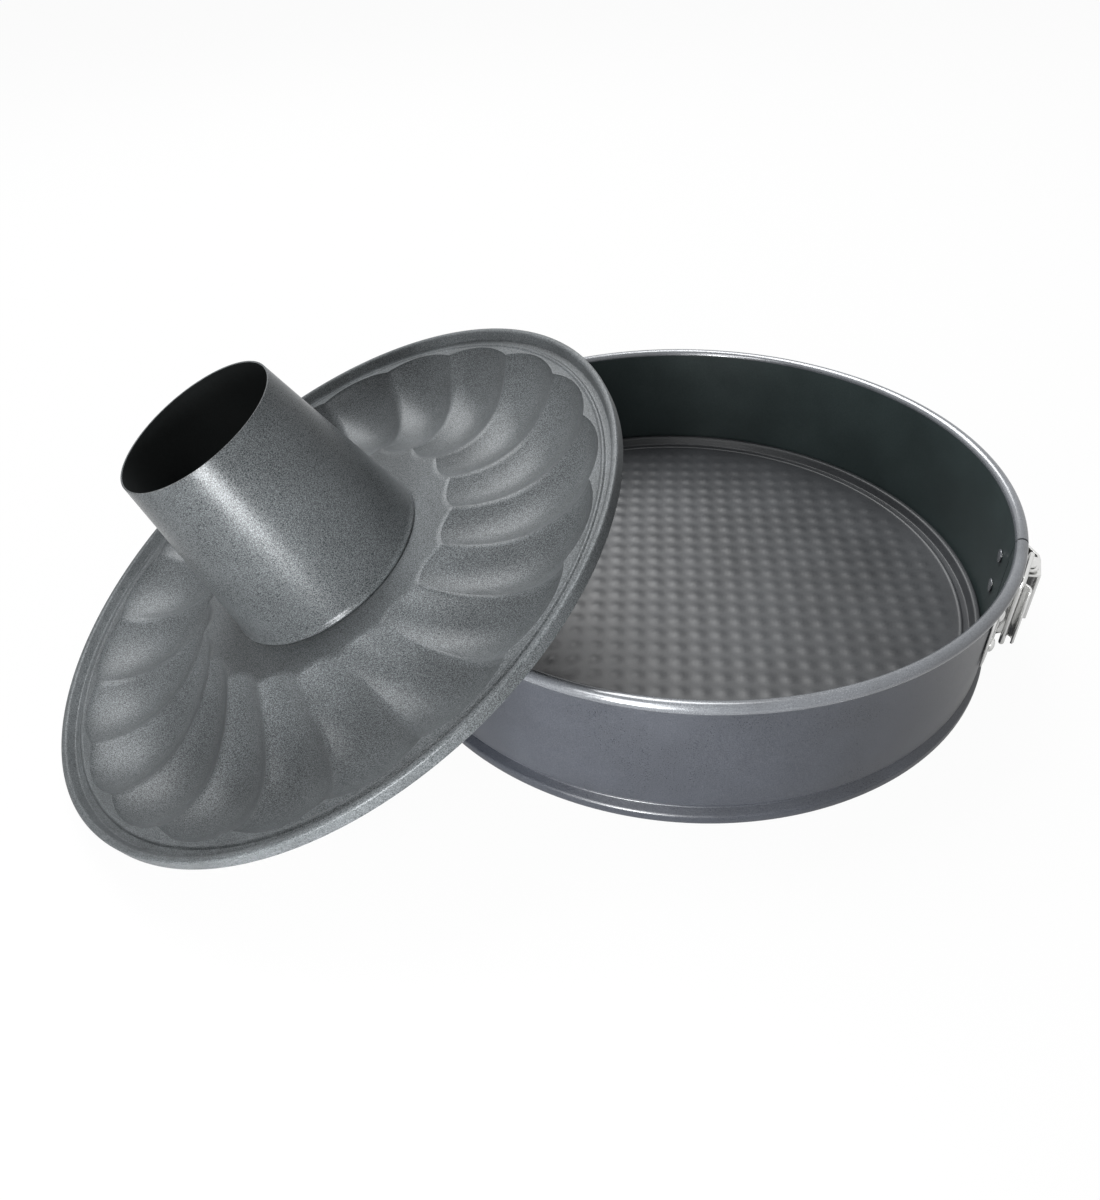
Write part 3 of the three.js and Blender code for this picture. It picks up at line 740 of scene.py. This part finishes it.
class SPRINGFORM_OT_bail(bpy.types.Operator):
    """Builds the closed wire loop from lever to hook"""
    bl_idname = "springform.bail"
    bl_label = "Wire bail"

    def execute(self, context):
        run = BAIL_HOOK - BAIL_SEAT
        wide = run.length / 2 - BAIL_CORNER
        high = BAIL_HEIGHT / 2 - BAIL_CORNER
        bm = bmesh.new()
        start = Matrix.Translation((0, BAIL_HEIGHT / 2, 0)) @ Matrix.Rotation(math.pi / 2, 4, "Y")
        bmesh.ops.create_circle(bm, segments=WIRE_STEPS, radius=BAIL_WIRE, matrix=start)
        ring = bm.edges[:]
        bends = [(wide, high), (wide, -high), (-wide, -high), (-wide, high), None]
        legs = [(wide, 0), (0, -2 * high), (-2 * wide, 0), (0, 2 * high), (wide, 0)]
        for leg, bend in zip(legs, bends):
            grown = bmesh.ops.extrude_edge_only(bm, edges=ring)["geom"]
            ring = grown_edges(grown)
            moved = grown_verts(grown)
            bmesh.ops.translate(bm, vec=(*leg, 0), verts=moved)
            if bend:
                turned = bmesh.ops.spin(
                    bm, geom=moved + ring, cent=(*bend, 0), axis=(0, 0, 1), angle=-math.pi / 2,
                    steps=BEND_STEPS)
                ring = grown_edges(turned["geom_last"])
        along = run.normalized()
        up = Vector((0, 0, 1))
        axes = Matrix((along, up, along.cross(up))).transposed().to_4x4()
        settle(bm, clasp_place() @ Matrix.Translation((BAIL_SEAT + BAIL_HOOK) / 2) @ axes)
        piece_from(bm, "wire_bail", (plating(),), "bail", "tension_bail")
        return {"FINISHED"}


class SPRINGFORM_OT_stampings(bpy.types.Operator):
    """Builds the lever and the two brackets with the rolled edges of stamped sheet"""
    bl_idname = "springform.stampings"
    bl_label = "Lever and brackets"

    def execute(self, context):
        for name, body in (("clamp_lever", "lever"), ("hinge_bracket", "band_back"), ("hook_bracket", "pan")):
            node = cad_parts[name]
            bm = bmesh.new()
            bm.from_mesh(node.data)
            bmesh.ops.remove_doubles(bm, verts=bm.verts, dist=MERGE_GAP)
            bmesh.ops.dissolve_limit(
                bm, angle_limit=math.radians(STAMPED_FLAT), verts=bm.verts, edges=bm.edges)
            sharp = math.radians(STAMPED_EDGE)
            corners = [e for e in bm.edges if e.is_manifold and e.calc_face_angle() > sharp]
            bmesh.ops.bevel(
                bm, geom=corners, offset=STAMPED_ROUNDING, offset_type="OFFSET", segments=2, profile=0.5,
                affect="EDGES", clamp_overlap=True, material=-1)
            settle(bm, node.matrix_world)
            piece_from(bm, "stamped_" + name, (plating(),), body, name, crease=32)
        return {"FINISHED"}


def pale_ground():
    """Ground that is near white to the camera, brightened in reflections, and keeps a soft shadow."""
    material, nodes, links = blank_material("Pale ground")
    nodes.remove(nodes["Principled BSDF"])
    ground = nodes.new("ShaderNodeBsdfDiffuse")
    ground.inputs["Color"].default_value = (*finish().backdrop, 1)
    glow = nodes.new("ShaderNodeEmission")
    camera, sharp = ray_masks(nodes, links)
    mirrored = ramped(nodes, links, sharp, 0, 1, 0, GROUND_MIRRORED)
    seen = ramped(nodes, links, camera, 0, 1, 0, GROUND_SEEN)
    part = joined(nodes, links, "MAXIMUM", seen, mirrored)
    both = nodes.new("ShaderNodeMixShader")
    links.new(part, both.inputs["Fac"])
    links.new(ground.outputs["BSDF"], both.inputs[1])
    links.new(glow.outputs["Emission"], both.inputs[2])
    links.new(both.outputs["Shader"], nodes["Material Output"].inputs["Surface"])
    return material


def softbox(name, place, target, width, depth, power):
    """Rectangular soft lamp turned towards a point."""
    lamp = bpy.data.lights.new(name, "AREA")
    lamp.shape = "RECTANGLE"
    lamp.size = width
    lamp.size_y = depth
    lamp.energy = power
    holder = bpy.data.objects.new(name, lamp)
    holder.location = place
    holder.rotation_euler = (Vector(target) - Vector(place)).to_track_quat("-Z", "Y").to_euler()
    bpy.context.scene.collection.objects.link(holder)


class SPRINGFORM_OT_stage(bpy.types.Operator):
    """Sets the pale floor, the soft light and the camera"""
    bl_idname = "springform.stage"
    bl_label = "Stage"

    def execute(self, context):
        scene = context.scene
        scene.view_settings.view_transform = "Standard"
        bm = bmesh.new()
        bmesh.ops.create_grid(bm, x_segments=12, y_segments=12, size=4)
        mesh = bpy.data.meshes.new("ground")
        bm.to_mesh(mesh)
        bm.free()
        mesh.materials.append(pale_ground())
        ground = bpy.data.objects.new("ground", mesh)
        scene.collection.objects.link(ground)

        world = bpy.data.worlds.new("Studio")
        world.use_nodes = True
        scene.world = world
        nodes = world.node_tree.nodes
        links = world.node_tree.links
        sky = nodes["Background"]
        camera, sharp = ray_masks(nodes, links)
        seen = joined(nodes, links, "MAXIMUM", camera, sharp)
        level = ramped(nodes, links, seen, 0, 1, SKY_FILL, 1)
        sky.inputs["Color"].default_value = (1, 1, 1, 1)
        links.new(level, sky.inputs["Strength"])

        middle = (0, 0, 0.05)
        softbox(
            "front_strip", place=(-0.01, -0.37, 0.075), target=(-0.10, -0.05, 0.09),
            width=0.08, depth=0.13, power=2.9)
        softbox(
            "front_softbox", place=(-0.20, -0.92, 0.70), target=middle, width=0.45, depth=0.45, power=8)
        softbox(
            "back_softbox", place=(-0.33, 0.62, 1.22), target=middle, width=0.9, depth=1.2, power=50)

        eye = bpy.data.cameras.new("photo_camera")
        eye.sensor_fit = "HORIZONTAL"
        eye.sensor_width = CAMERA_SENSOR
        eye.lens = CAMERA_SENSOR * CAMERA_FOCUS / PHOTO_WIDTH
        eye.clip_start = 0.01
        eye.clip_end = 20
        holder = bpy.data.objects.new("photo_camera", eye)
        axes = Matrix((CAMERA_RIGHT, -Vector(CAMERA_DOWN), -Vector(CAMERA_FORWARD))).transposed()
        holder.matrix_world = Matrix.Translation(RING_AXIS + Vector(CAMERA_PLACE)) @ axes.to_4x4()
        scene.collection.objects.link(holder)
        scene.camera = holder
        return {"FINISHED"}


class SPRINGFORM_PT_panel(bpy.types.Panel):
    """Lists the pieces of the springform set"""
    bl_idname = "SPRINGFORM_PT_panel"
    bl_label = "Springform"
    bl_space_type = "VIEW_3D"
    bl_region_type = "UI"
    bl_category = "Springform"

    def draw(self, context):
        for operator in OPERATORS:
            self.layout.operator(operator.bl_idname)
        for group in (sizes(), finish()):
            box = self.layout.box()
            for name in group.__annotations__:
                box.prop(group, name)


OPERATORS = (
    SPRINGFORM_OT_ring,
    SPRINGFORM_OT_flat_base,
    SPRINGFORM_OT_fluted_plate,
    SPRINGFORM_OT_tube,
    SPRINGFORM_OT_rivets,
    SPRINGFORM_OT_pivot_pin,
    SPRINGFORM_OT_bail,
    SPRINGFORM_OT_stampings,
    SPRINGFORM_OT_stage,
)
CLASSES = (SpringformSizes, SpringformFinish, *OPERATORS, SPRINGFORM_PT_panel)


def register():
    for cls in CLASSES:
        bpy.utils.register_class(cls)
    bpy.types.Scene.springform_sizes = bpy.props.PointerProperty(type=SpringformSizes)
    bpy.types.Scene.springform_finish = bpy.props.PointerProperty(type=SpringformFinish)


def unregister():
    del bpy.types.Scene.springform_finish
    del bpy.types.Scene.springform_sizes
    for cls in reversed(CLASSES):
        bpy.utils.unregister_class(cls)


def main():
    register()
    bpy.ops.springform.ring()
    bpy.ops.springform.flat_base()
    bpy.ops.springform.fluted_plate()
    bpy.ops.springform.tube()
    bpy.ops.springform.rivets()
    bpy.ops.springform.pivot_pin()
    bpy.ops.springform.bail()
    bpy.ops.springform.stampings()
    bpy.ops.springform.stage()


if __name__ == "__main__":
    main()
